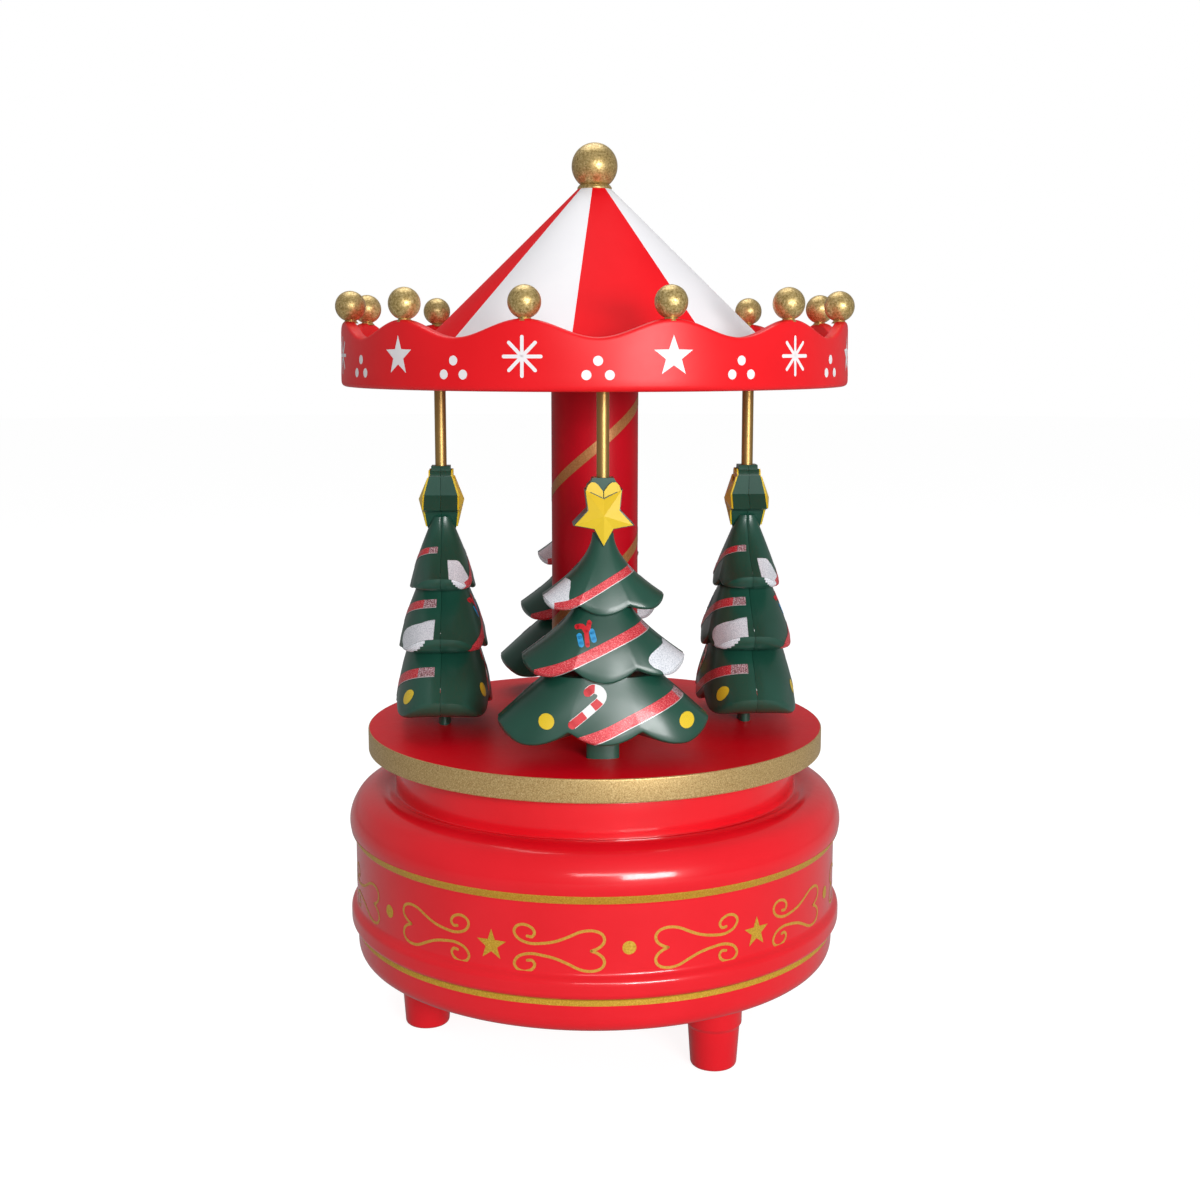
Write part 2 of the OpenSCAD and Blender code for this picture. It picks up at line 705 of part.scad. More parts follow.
module governor_pinion() {
    pinion_t = wheel_t + 0.4;
    color("goldenrod") translate([cyl_wheel_x - 0.2, gov_y, cyl_z]) rotate([90, 0, 90]) difference() {
        linear_extrude(pinion_t) rotate(180 / gov_pinion_teeth)
            gear_2d(train_module, gov_pinion_teeth);
        translate([0, 0, -1]) cylinder(r = gov_arbor_r + eps, h = pinion_t + 2);
    }
}

module worm_wheel() {
    color("whitesmoke") translate([worm_wheel_x, gov_y, cyl_z]) rotate([90, 0, 90]) difference() {
        linear_extrude(worm_wheel_t) gear_2d(worm_module, worm_wheel_teeth, 0.38);
        translate([0, 0, -1]) cylinder(r = gov_arbor_r + eps, h = worm_wheel_t + 2);
    }
}

module worm() {
    root_half = 0.18 * worm_lead + 0.1;
    crest_half = 0.18 * worm_lead - 0.13;
    crest_r = worm_r + 0.32;
    thread = [[0.85, -root_half], [crest_r, -crest_half], [crest_r, crest_half], [0.85, root_half]];
    color("lightgray") translate([worm_x, worm_y, 0]) {
        translate([0, 0, worm_low - 1]) cylinder(r = 0.5, h = worm_high - worm_low + 4.2);
        translate([0, 0, worm_low + 0.3]) cylinder(r = 0.95, h = worm_high - worm_low - 0.6);
        helix(thread, worm_lead, worm_turns, cyl_z - worm_lead * worm_turns / 2, -90);
    }
}

module governor_fan() {
    color("dimgray") translate([worm_x, worm_y, worm_high + 1.3]) difference() {
        union() {
            cylinder(r = 1.1, h = 1.8);
            translate([-4, -0.2, 0]) cube([8, 0.4, 1.8]);
        }
        translate([0, 0, -1]) cylinder(r = 0.5, h = 4);
    }
}

// ---------- the nodes ----------

base_shell();
bottom_plate();
foot(0);  // foot_1
foot(1);  // foot_2
foot(2);  // foot_3
shell_screws();
bedplate();
bedplate_screws();
comb_block();
comb();
comb_screws();
cylinder_bearing();
governor_bearing();
outer_bearing();
governor_frame();
click_spring();
wind_key();
winding_arbor();
spring_barrel();
barrel_cover();
mainspring();
drive_spindle();
platform();
platform_screw();
column();
canopy_skirt();
canopy_roof();
finial();
rim_balls();
rod(0);  // rod_1
rod(1);  // rod_2
rod(2);  // rod_3
rod(3);  // rod_4
tree_outer(0);  // tree_1_outer
tree_outer(1);  // tree_2_outer
tree_outer(2);  // tree_3_outer
tree_outer(3);  // tree_4_outer
tree_inner(0);  // tree_1_inner
tree_inner(1);  // tree_2_inner
tree_inner(2);  // tree_3_inner
tree_inner(3);  // tree_4_inner
cylinder_arbor();
tune_cylinder();
cylinder_pinion();
cylinder_wheel();
governor_arbor();
governor_pinion();
worm_wheel();
worm();
governor_fan();
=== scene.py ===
import math
from collections import namedtuple

import bpy
from mathutils import Matrix, Vector


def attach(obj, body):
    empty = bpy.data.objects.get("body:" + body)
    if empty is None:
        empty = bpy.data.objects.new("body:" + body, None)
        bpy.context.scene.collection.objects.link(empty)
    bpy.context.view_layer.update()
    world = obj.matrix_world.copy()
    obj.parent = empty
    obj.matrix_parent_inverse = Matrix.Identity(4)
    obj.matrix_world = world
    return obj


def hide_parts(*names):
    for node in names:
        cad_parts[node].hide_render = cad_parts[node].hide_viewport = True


# Sizes are in millimetres in the part's own frame and become metres when a mesh is made.
# az is an angle round the axis, from -Y (towards the viewer) to +X (the viewer's right).

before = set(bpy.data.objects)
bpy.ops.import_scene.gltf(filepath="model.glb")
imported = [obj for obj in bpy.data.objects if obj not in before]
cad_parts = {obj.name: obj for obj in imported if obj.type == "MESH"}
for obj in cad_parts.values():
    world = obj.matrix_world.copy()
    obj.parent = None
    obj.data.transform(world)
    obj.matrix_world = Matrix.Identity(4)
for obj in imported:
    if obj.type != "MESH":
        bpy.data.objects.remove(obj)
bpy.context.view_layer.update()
MM = 0.001
PROUD = 0.035  # paint stands this far off the surface it lies on


# ------------------------------------------------------------------ mesh helpers

def add_object(name, verts, faces, mats, body, nodes=(), face_mats=None, smooth=40, at=None):
    mesh = bpy.data.meshes.new(name)
    mesh.from_pydata([tuple(c * MM for c in v) for v in verts], [], [tuple(f) for f in faces])
    mats = mats if isinstance(mats, list) else [mats]
    for m in mats:
        mesh.materials.append(m)
    if face_mats is not None:
        mesh.polygons.foreach_set("material_index", face_mats)
    mesh.validate()
    mesh.update()
    if smooth:
        mesh.shade_smooth()
        mesh.set_sharp_from_angle(angle=math.radians(smooth))
    return place(name, mesh, body, nodes, at)


def place(name, mesh, body, nodes=(), at=None):
    obj = bpy.data.objects.new(name, mesh)
    bpy.context.scene.collection.objects.link(obj)
    if at is not None:
        obj.matrix_world = at
    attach(obj, body)
    if nodes:
        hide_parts(*nodes)
    return obj


def spline(points, steps=8):
    """Points on a smooth curve through the given points."""
    p = [Vector(q) for q in points]
    p = [2 * p[0] - p[1]] + p + [2 * p[-1] - p[-2]]
    out = []
    for i in range(1, len(p) - 2):
        for k in range(steps):
            t = k / steps
            out.append(0.5 * ((2 * p[i]) + (p[i + 1] - p[i - 1]) * t
                              + (2 * p[i - 1] - 5 * p[i] + 4 * p[i + 1] - p[i + 2]) * t * t
                              + (3 * p[i] - p[i - 1] - 3 * p[i + 1] + p[i + 2]) * t ** 3))
    out.append(p[-2])
    return [tuple(q) for q in out]


def rounded(points, steps=6):
    """A polyline of (r, z) or (r, z, corner radius) with its corners rounded."""
    out = []
    for i, q in enumerate(points):
        radius = q[2] if len(q) > 2 else 0
        here = Vector(q[:2])
        if radius == 0 or i in (0, len(points) - 1):
            out.append(tuple(here))
            continue
        a, b = Vector(points[i - 1][:2]) - here, Vector(points[i + 1][:2]) - here
        turn = a.angle(b)
        reach = min(radius / math.tan(turn / 2), 0.49 * a.length, 0.49 * b.length)
        a, b = here + a.normalized() * reach, here + b.normalized() * reach
        for k in range(steps + 1):
            t = k / steps
            out.append(tuple((1 - t) ** 2 * a + 2 * t * (1 - t) * here + t * t * b))
    return out


def revolve(profile, segs=192, closed=False, axis=(0.0, 0.0)):
    """A profile of (r, z) turned about Z: vertices, faces, and each face's profile step and angle step."""
    verts, faces, tags = [], [], []
    for r, z in profile:
        for k in range(segs):
            t = 2 * math.pi * k / segs
            verts.append((axis[0] + r * math.cos(t), axis[1] + r * math.sin(t), z))
    n = len(profile)
    for j in range(n if closed else n - 1):
        for k in range(segs):
            a, b = j * segs + k, j * segs + (k + 1) % segs
            c, d = ((j + 1) % n) * segs + (k + 1) % segs, ((j + 1) % n) * segs + k
            faces.append((a, b, c, d))
            tags.append((j, k))
    return verts, faces, tags


def sphere(r, centre, rings=32, segs=48):
    profile = [(max(r * math.sin(math.pi * i / rings), 1e-4), centre[2] - r * math.cos(math.pi * i / rings))
               for i in range(rings + 1)]
    verts, faces, _ = revolve(profile, segs, axis=centre[:2])
    return verts, faces


def joined(*parts):
    verts, faces = [], []
    for v, f in parts:
        base = len(verts)
        verts += list(v)
        faces += [tuple(i + base for i in face) for face in f]
    return verts, faces


# ------------------------------------------------------------------ flat artwork

def fan(outline, rings=3):
    """A filled flat shape seen whole from its middle, as points and faces."""
    cx = sum(p[0] for p in outline) / len(outline)
    cy = sum(p[1] for p in outline) / len(outline)
    n = len(outline)
    pts = [(cx, cy)]
    for r in range(1, rings + 1):
        pts += [(cx + (x - cx) * r / rings, cy + (y - cy) * r / rings) for x, y in outline]
    faces = [(0, 1 + i, 1 + (i + 1) % n) for i in range(n)]
    for r in range(rings - 1):
        a = 1 + r * n
        faces += [(a + i, a + n + i, a + n + (i + 1) % n, a + (i + 1) % n) for i in range(n)]
    return pts, faces


def circle(x, y, r, n):
    return [(x + r * math.cos(2 * math.pi * i / n), y + r * math.sin(2 * math.pi * i / n)) for i in range(n)]


def round_dot(x, y, r, n=20):
    return fan(circle(x, y, r, n), 2)


def star_outline(r_out, r_in, first=90.0, x=0.0, y=0.0):
    return [(x + (r_in if i % 2 else r_out) * math.cos(math.radians(first + 36 * i)),
             y + (r_in if i % 2 else r_out) * math.sin(math.radians(first + 36 * i))) for i in range(10)]


def stroke(path, width, cap=True):
    """A ribbon along a path, with round ends."""
    half = width / 2
    pts, faces = [], []
    p = [Vector(q) for q in path]
    for i, q in enumerate(p):
        d = (p[min(i + 1, len(p) - 1)] - p[max(i - 1, 0)]).normalized()
        pts += [(q.x - d.y * half, q.y + d.x * half), (q.x + d.y * half, q.y - d.x * half)]
    faces = [(2 * i + 1, 2 * i + 3, 2 * i + 2, 2 * i) for i in range(len(p) - 1)]
    out = (pts, faces)
    if cap:
        out = joined(out, round_dot(p[0].x, p[0].y, half, 12), round_dot(p[-1].x, p[-1].y, half, 12))
    return out


def mirrored(shape):
    pts, faces = shape
    return [(-x, y) for x, y in pts], [tuple(reversed(f)) for f in faces]


def on_cylinder(shape, az, z0, radius):
    """Wraps flat artwork round a cylinder, or round radius(z) if that is a function."""
    pts, faces = shape
    verts = []
    for x, y in pts:
        r = (radius(z0 + y) if callable(radius) else radius) + PROUD
        t = math.radians(az) + x / r
        verts.append((r * math.sin(t), -r * math.cos(t), z0 + y))
    return verts, faces


# ------------------------------------------------------------------ materials

def new_material(name, color, rough, metal=0.0, coat=0.0, coat_rough=0.1, specular=0.5, ior=1.5):
    m = bpy.data.materials.new(name)
    m.use_nodes = True
    b = m.node_tree.nodes["Principled BSDF"]
    b.inputs["Base Color"].default_value = (*color, 1)
    b.inputs["Roughness"].default_value = rough
    b.inputs["Metallic"].default_value = metal
    b.inputs["Coat Weight"].default_value = coat
    b.inputs["Coat Roughness"].default_value = coat_rough
    b.inputs["Specular IOR Level"].default_value = specular
    b.inputs["IOR"].default_value = ior
    m.diffuse_color = (*color, 1)
    return m


def node(m, kind, **inputs):
    n = m.node_tree.nodes.new(kind)
    for key, value in inputs.items():
        n.inputs[key.replace("_", " ")].default_value = value
    return n


def noise(m, scale, detail=2.0, rough=0.5):
    co = m.node_tree.nodes.new("ShaderNodeTexCoord")
    n = node(m, "ShaderNodeTexNoise", Scale=scale, Detail=detail, Roughness=rough)
    m.node_tree.links.new(co.outputs["Object"], n.inputs["Vector"])
    return n.outputs["Fac"]


def ramp(m, source, stops):
    n = m.node_tree.nodes.new("ShaderNodeValToRGB")
    e = n.color_ramp.elements
    while len(e) < len(stops):
        e.new(0.5)
    for s, (pos, color) in zip(e, stops):
        s.position = pos
        s.color = (*color, 1)
    m.node_tree.links.new(source, n.inputs["Fac"])
    return n.outputs["Color"]


def paint(m, color_output):
    m.node_tree.links.new(color_output, m.node_tree.nodes["Principled BSDF"].inputs["Base Color"])


def roughen(m, source, low, high):
    n = m.node_tree.nodes.new("ShaderNodeMapRange")
    n.inputs["To Min"].default_value = low
    n.inputs["To Max"].default_value = high
    m.node_tree.links.new(source, n.inputs["Value"])
    m.node_tree.links.new(n.outputs["Result"], m.node_tree.nodes["Principled BSDF"].inputs["Roughness"])


def bump(m, source, depth, strength=1.0):
    n = node(m, "ShaderNodeBump", Strength=strength, Distance=depth * MM)
    m.node_tree.links.new(source, n.inputs["Height"])
    m.node_tree.links.new(n.outputs["Normal"], m.node_tree.nodes["Principled BSDF"].inputs["Normal"])


def lacquer(name, low, high, rough, coat=0.25, coat_rough=0.18, specular=0.5):
    """Paint that varies a little between two colours and in its gloss."""
    m = new_material(name, high, rough, coat=coat, coat_rough=coat_rough, specular=specular)
    paint(m, ramp(m, noise(m, 60, 4), [(0.3, low), (0.7, high)]))
    roughen(m, noise(m, 900, 3), rough - 0.04, rough + 0.05)
    bump(m, noise(m, 420, 2), 0.006)
    return m


def grained(name, color, rough, grain, stops, metal=0.0, coat=0.0, coat_rough=0.1):
    """A fine-grained colour: grain is the noise's scale, detail and roughness, and stops are its colours."""
    m = new_material(name, color, rough, metal=metal, coat=coat, coat_rough=coat_rough)
    paint(m, ramp(m, noise(m, *grain), stops))
    return m


red = lacquer("red_lacquer", (0.76, 0.004, 0.012), (0.82, 0.007, 0.017), 0.36,
              coat=0.8, coat_rough=0.12, specular=0.18)
satin_red = lacquer("skirt_red", (0.77, 0.005, 0.010), (0.83, 0.008, 0.014), 0.42,
                    coat=0.2, coat_rough=0.34, specular=0.22)
# The column's red is a darker copy of the red lacquer: painted shade standing in for the canopy's shadow on
# the column.
column_red_painted_shade = lacquer("column_red_painted_shade", (0.46, 0.0004, 0.008), (0.52, 0.001, 0.011), 0.40,
                     coat=0.1, coat_rough=0.25, specular=0.15)
roof_red = lacquer("roof_red", (0.80, 0.003, 0.009), (0.86, 0.006, 0.013), 0.5, coat=0.0, specular=0.08)
deep_red = lacquer("platform_red", (0.80, 0.000, 0.009), (0.88, 0.001, 0.013), 0.42,
                   coat=0.0, specular=0.22)
roof_white = lacquer("roof_white", (0.84, 0.84, 0.87), (0.88, 0.88, 0.90), 0.45, coat=0.0, specular=0.3)
green = lacquer("tree_green", (0.006, 0.056, 0.035), (0.010, 0.078, 0.050), 0.40,
                coat=0.4, coat_rough=0.22)
motif_white = lacquer("motif_white", (0.84, 0.80, 0.82), (0.88, 0.85, 0.86), 0.45, coat=0.0)
yellow = lacquer("star_yellow", (0.72, 0.49, 0.012), (0.84, 0.62, 0.03), 0.4)
blue = lacquer("gift_blue", (0.02, 0.30, 0.62), (0.04, 0.38, 0.72), 0.45, coat=0.0)
ribbon = lacquer("ribbon_red", (0.62, 0.01, 0.02), (0.70, 0.02, 0.03), 0.45, coat=0.0)
cane_white = lacquer("cane_white", (0.80, 0.80, 0.80), (0.88, 0.88, 0.88), 0.45, coat=0.0)

gold_leaf = grained("gold_leaf", (0.42, 0.25, 0.06), 0.42, (2600, 5, 0.7),
                    [(0.34, (0.26, 0.16, 0.04)), (0.5, (0.54, 0.39, 0.14)), (0.66, (0.80, 0.62, 0.30))],
                    metal=0.7, coat=0.3, coat_rough=0.3)
roughen(gold_leaf, noise(gold_leaf, 1700, 4), 0.34, 0.5)
bump(gold_leaf, noise(gold_leaf, 700, 4, 0.6), 0.02)

gold_paint = grained("gold_paint", (0.55, 0.36, 0.13), 0.42, (4200, 3, 0.7),
                     [(0.3, (0.34, 0.19, 0.06)), (0.5, (0.56, 0.38, 0.15)), (0.72, (0.80, 0.62, 0.32))],
                     metal=0.55)
bump(gold_paint, noise(gold_paint, 4200, 2), 0.01)

line_gold = grained("line_gold", (0.62, 0.33, 0.05), 0.45, (3600, 3, 0.7),
                    [(0.3, (0.50, 0.24, 0.012)), (0.55, (0.70, 0.42, 0.035)), (0.75, (0.86, 0.60, 0.11))],
                    metal=0.35)
scroll_gold = grained("scroll_gold", (0.70, 0.30, 0.06), 0.45, (3000, 3, 0.7),
                      [(0.3, (0.54, 0.22, 0.02)), (0.7, (0.74, 0.42, 0.06))], metal=0.2)
stripe_gold = grained("stripe_gold", (0.42, 0.16, 0.05), 0.42, (3000, 3, 0.7),
                      [(0.3, (0.34, 0.12, 0.03)), (0.7, (0.52, 0.24, 0.08))], metal=0.35)

brass = new_material("brass_tube", (0.46, 0.29, 0.10), 0.4, metal=0.9)
roughen(brass, noise(brass, 1500, 2), 0.36, 0.46)

glitter_red = grained("glitter_red", (0.66, 0.03, 0.05), 0.4, (5200, 3, 0.8),
                      [(0.32, (0.42, 0.008, 0.018)), (0.52, (0.68, 0.03, 0.045)), (0.7, (0.86, 0.36, 0.36))],
                      metal=0.15, coat=0.2)
silver = new_material("silver_line", (0.62, 0.60, 0.60), 0.4, metal=0.4)
speckle = grained("speckle_grey", (0.42, 0.32, 0.33), 0.5, (5000, 2, 0.8),
                  [(0.40, (0.10, 0.07, 0.07)), (0.5, (0.40, 0.10, 0.12)), (0.6, (0.66, 0.58, 0.62))])
snow = grained("snow_white", (0.82, 0.84, 0.88), 0.5, (4200, 3, 0.8),
               [(0.34, (0.50, 0.54, 0.60)), (0.6, (0.84, 0.86, 0.90))])

steel = new_material("steel", (0.55, 0.56, 0.58), 0.28, metal=1.0)
dark_steel = new_material("spring_steel", (0.13, 0.16, 0.22), 0.32, metal=1.0)
zinc = new_material("die_cast_zinc", (0.40, 0.41, 0.43), 0.5, metal=0.85)
bump(zinc, noise(zinc, 2200, 3), 0.02)
gear_brass = new_material("gear_brass", (0.68, 0.46, 0.16), 0.3, metal=1.0)
nylon = new_material("nylon", (0.78, 0.76, 0.70), 0.5)
for metal_like in (steel, gear_brass):
    roughen(metal_like, noise(metal_like, 900, 3), 0.22, 0.36)


# ------------------------------------------------------------------ base

band_r = 48.35
# Up the outside from the foot of the wall to the neck, and down the inside
base_line = (rounded([(41.2, 17.0), (41.2, 15.2, 0.4), (48.3, 15.2, 4.4), (48.3, 21.9)], 10)
             + rounded([(48.3, 21.9), (49.55, 22.6, 1.6), (49.55, 25.6, 1.6), (band_r, 26.6, 1.2),
                        (band_r, 30.0)], 8)
             + [(band_r, 39.3)]
             + spline([(band_r, 39.6), (48.75, 40.35), (49.25, 41.3), (49.5, 42.9), (49.3, 44.5),
                       (48.7, 46.1), (47.5, 47.9), (45.9, 49.0), (44.2, 49.6), (42.6, 49.5),
                       (41.3, 49.0)], 6)
             + rounded([(41.0, 48.9), (40.3, 48.8, 0.3), (40.2, 50.0)], 4)
             + rounded([(40.2, 53.4), (40.2, 55.9, 0.5), (5.1, 55.9)], 4)
             + [(5.1, 53.9), (37.8, 53.9), (38.0, 46.8), (42.4, 46.4), (44.6, 45.4), (45.8, 43.6),
                (45.8, 17.0)])
verts, faces, tags = revolve(base_line, 240, closed=True)
add_object("base_shell_looks", verts, faces, red, "base", ["base_shell"], smooth=35)


def profile_radius(line):
    """The outer radius of a profile at a height."""
    def at(z):
        best = 0.0
        for (r1, z1), (r2, z2) in zip(line, line[1:]):
            if min(z1, z2) <= z <= max(z1, z2) and z1 != z2:
                best = max(best, r1 + (r2 - r1) * (z - z1) / (z2 - z1))
        return best
    return at


base_radius = profile_radius(base_line)


def ring_band(z_low, z_high, radius, steps=8, segs=240):
    line = [(radius(z_low + (z_high - z_low) * i / steps) + PROUD, z_low + (z_high - z_low) * i / steps)
            for i in range(steps + 1)]
    verts, faces, _ = revolve(line, segs)
    return verts, faces


verts, faces = joined(ring_band(39.7, 41.35, base_radius), ring_band(20.8, 22.15, base_radius))
add_object("base_gold_lines", verts, faces, line_gold, "base", smooth=60)

foot_ring_r, first_foot = 34.8, -49  # first_foot is in degrees from +X
foot_line = rounded([(0.001, 0.0), (4.4, 0.0, 0.9), (4.95, 8.0, 0.2), (5.35, 8.7, 0.3), (5.5, 17.0)], 5)
for k in range(3):
    t = math.radians(first_foot + 120 * k)
    verts, faces, _ = revolve(foot_line, 64, axis=(foot_ring_r * math.cos(t), foot_ring_r * math.sin(t)))
    add_object(f"foot_{k + 1}_looks", verts, faces, red, "base", [f"foot_{k + 1}"], smooth=35)

# The scroll: one S-shaped line with a curl at each end, and its mirror image below
curl = spline([(5.55, 0.0), (6.6, 0.45), (7.55, 1.3), (7.75, 2.35), (7.1, 3.3), (5.6, 3.75), (3.7, 3.5),
               (1.6, 2.5), (-0.4, 1.65), (-2.6, 1.15), (-5.0, 0.95), (-7.0, 1.6), (-7.85, 2.9),
               (-7.3, 4.0), (-6.0, 4.35), (-4.7, 3.85), (-4.2, 2.95), (-4.65, 2.2), (-5.5, 2.25)], 5)
curl_stretch, curl_w, scroll_z = 1.04, 0.52, 31.1
curl = [(curl_stretch * x, y) for x, y in curl]
motif = joined(stroke(curl, curl_w), stroke([(x, -y) for x, y in reversed(curl)], curl_w))
left_az, dot_az, right_az, star_az = -7.4, 7.4, 22.6, 37.7
art = []
for k in range(6):
    art.append(on_cylinder(motif, left_az + 60 * k, scroll_z, band_r))
    art.append(on_cylinder(mirrored(motif), right_az + 60 * k, scroll_z, band_r))
verts, faces = joined(*art)
add_object("base_scrolls", verts, faces, scroll_gold, "base", smooth=60)
art = []
for k in range(6):
    art.append(on_cylinder(round_dot(0, 0, 1.25), dot_az + 60 * k, 31.6, band_r))
    art.append(on_cylinder(fan(star_outline(3.0, 1.2)), star_az + 60 * k, 30.9, band_r))
verts, faces = joined(*art)
add_object("base_stars", verts, faces, line_gold, "base", smooth=60)

# ------------------------------------------------------------------ platform and column

platform_r, platform_low, platform_top = 45.5, 57.0, 61.5
platform_line = rounded([(5.0, 50.5), (5.0, 59.5), (43.5, 59.5), (43.5, platform_low, 0.2),
                         (platform_r, platform_low, 0.35), (platform_r, platform_top, 0.35),
                         (0.001, platform_top)], 5)


def is_gold_edge(j):
    """Whether a step of the platform's profile lies on its upright edge."""
    here, after = platform_line[j], platform_line[j + 1]
    return here[0] > platform_r - 0.2 and after[0] > platform_r - 0.4 and here[1] < platform_top - 0.01


verts, faces, tags = revolve(platform_line, 240)
gold_faces = [int(is_gold_edge(j)) for j, _ in tags]
add_object("platform_looks", verts, faces, [deep_red, gold_paint], "rotor", ["platform"],
           gold_faces, smooth=35)

column_r, column_bore, column_top = 8.55, 6.85, 130.2
column_line = [(column_r, platform_top), (column_r, column_top), (column_bore, column_top),
               (column_bore, platform_top)]
verts, faces, _ = revolve(column_line, 128, closed=True)
add_object("column_looks", verts, faces, column_red_painted_shade, "rotor", ["column"], smooth=35)
# The stripe climbs faster over the front than over the back
lead, swing, stripe_h, stripe_at = 27.0, 2.9, 2.4, 116.9
stripe_low, stripe_high = 61.6, 130.1
verts = []
for az in range(-810, 270, 3):
    t = math.radians(az)
    z = stripe_at + lead * az / 360 + swing * math.sin(t)
    low, high = max(z - stripe_h / 2, stripe_low), min(z + stripe_h / 2, stripe_high)
    if low < high:
        r = column_r + PROUD
        verts += [(r * math.sin(t), -r * math.cos(t), low), (r * math.sin(t), -r * math.cos(t), high)]
faces = [(i, i + 2, i + 3, i + 1) for i in range(0, len(verts) - 2, 2)]
add_object("column_stripe", verts, faces, stripe_gold, "rotor", smooth=60)

# ------------------------------------------------------------------ canopy

skirt_low, valley_z, peak_z, scallops = 128.8, 137.9, 141.0, 12
ball_az = 15.85


def skirt_top(az):
    wave = math.cos(math.radians((az - ball_az) * scallops))
    return (peak_z + valley_z) / 2 + (peak_z - valley_z) / 2 * wave


skirt_side = [(49.1, skirt_low), (49.1, 131.0), (49.0, 134.0), (48.9, 142.0)]
skirt_outer = profile_radius(skirt_side)


segs = 720
verts, faces = [], []
for k in range(segs):
    az = 360 * k / segs
    zt = skirt_top(az)
    section = rounded([(46.8, zt - 3), (46.8, zt, 0.45), (skirt_outer(zt), zt, 0.75), skirt_side[2],
                       skirt_side[1], (49.1, skirt_low, 1.1), (46.9, skirt_low, 0.7), (46.8, 131.0)], 5)
    section_count = len(section)
    t = math.radians(az)
    verts += [(r * math.sin(t), -r * math.cos(t), z) for r, z in section]
for k in range(segs):
    for j in range(section_count):
        a, b = k * section_count + j, k * section_count + (j + 1) % section_count
        c = ((k + 1) % segs) * section_count + (j + 1) % section_count
        d = ((k + 1) % segs) * section_count + j
        faces.append((a, b, c, d))
add_object("canopy_skirt_looks", verts, faces, satin_red, "rotor", ["canopy_skirt"],
           smooth=45)
deck_line = [(46.85, column_top), (46.85, 132.2), (6.9, 132.2), (6.9, column_top)]
verts, faces, _ = revolve(deck_line, 200, closed=True)
add_object("canopy_deck_looks", verts, faces, satin_red, "rotor", smooth=35)

skirt_z, dots_z, flake_r, dot_r = 134.7, 134.0, 3.25, 0.84
flake_ends = [(flake_r * math.cos(math.radians(a)), flake_r * math.sin(math.radians(a)))
              for a in range(0, 360, 45)]
flake = joined(*[stroke([(0.0, 0.0), end], 0.62) for end in flake_ends])
dots = joined(round_dot(0, 0.0, dot_r), round_dot(-1.95, -2.35, dot_r), round_dot(1.95, -2.35, dot_r))
art = []
for k in range(6):
    art.append(on_cylinder(fan(star_outline(3.6, 1.45), 5), ball_az + 60 * k, skirt_z, skirt_outer))
    art.append(on_cylinder(flake, ball_az + 30 + 60 * k, skirt_z, skirt_outer))
for k in range(12):
    art.append(on_cylinder(dots, ball_az + 15 + 30 * k, dots_z, skirt_outer))
verts, faces = joined(*art)
add_object("skirt_motifs", verts, faces, motif_white, "rotor", smooth=60)

roof_low_r, roof_low_z, roof_top_r, roof_top_z = 38.3, 132.2, 2.6, 166.9
roof_slope = [(roof_low_r + (roof_top_r - roof_low_r) * i / 24,
               roof_low_z + (roof_top_z - roof_low_z) * i / 24) for i in range(25)]
verts, faces, tags = revolve([(roof_low_r - 2.4, roof_low_z)] + roof_slope + [(0.001, roof_top_z)], 360)
sector_edge = 38  # one edge's angle from +X; the others follow every 45 degrees
sector = [int(((k + 0.5) - sector_edge) % 360 // 45) % 2 for _, k in tags]
add_object("canopy_roof_looks", verts, faces, [roof_white, roof_red], "rotor",
           ["canopy_roof"], sector, smooth=35)

ball_ring_r, ball_r, ball_z = 47.45, 2.85, 143.75
for k in range(scallops):
    t = math.radians(ball_az + 30 * k)
    x, y = ball_ring_r * math.sin(t), -ball_ring_r * math.cos(t)
    neck, neck_faces, _ = revolve([(1.5, 140.6), (1.05, 141.1), (1.0, 141.6)], 24, axis=(x, y))
    verts, faces = joined(sphere(ball_r, (x, y, ball_z)), (neck, neck_faces))
    replaced = ["rim_balls"] if k == 0 else ()
    add_object(f"rim_ball_{k + 1}", verts, faces, gold_leaf, "rotor", replaced, smooth=60)

finial_r, finial_z = 4.43, 170.57
collar = rounded([(3.2, 165.9), (3.35, 166.5, 0.2), (3.0, 167.0, 0.2), (2.0, 167.1)], 4)
collar_verts, collar_faces, _ = revolve(collar, 48)
verts, faces = joined(sphere(finial_r, (0, 0, finial_z), 48, 64), (collar_verts, collar_faces))
add_object("finial_looks", verts, faces, gold_leaf, "rotor", ["finial"], smooth=60)

# ------------------------------------------------------------------ trees
# A half tree is drawn about its own axis: x to the right as its face is seen, y out of the face, z up.

tree_ring_r, tree_az = 30.3, 2.95
seam_gap = 0.03  # a half tree stays this far from the seam's plane
# Heights are absolute. lobe, valley and mid say how far the hem hangs below the tip: at the side lobe's
# middle, at the notch beside the middle lobe, and in the middle. notch says where the notch is, as a share
# of the half width. A tip's end curves in by reach and down by drop.
Tier = namedtuple("Tier", "top_z top_w top_d tip_z w d flare lobe valley mid notch reach drop")
tiers = [Tier(103.2, 1.9, 1.8, 92.1, 11.0, 6.5, 1.85, 2.2, 1.5, 3.2, 0.416, 2.8, 2.6),
         Tier(90.0, 5.2, 4.9, 81.0, 14.8, 8.8, 1.35, 2.8, 1.5, 4.0, 0.39, 3.6, 3.2),
         Tier(77.8, 9.8, 7.0, 69.5, 19.3, 9.6, 0.95, 3.7, 1.2, 3.6, 0.343, 4.8, 3.5)]
lip = 0.6
square = 2.7  # exponent of the oval that a tier is in plan: 2 is an ellipse, and more is squarer
lobe_at = 0.73  # where the side lobe hangs lowest, as a share of the half width
crease_reach, crease_depth = 0.36, 0.4  # the fold at a notch: its share of the half width, and its depth
seam_reach, seam_depth = 0.13, 0.16  # the groove along the seam
hem_power = 4  # how late down the tier its hem's waves begin
tier_rows, lip_rows, turn_steps = 18, 8, 96


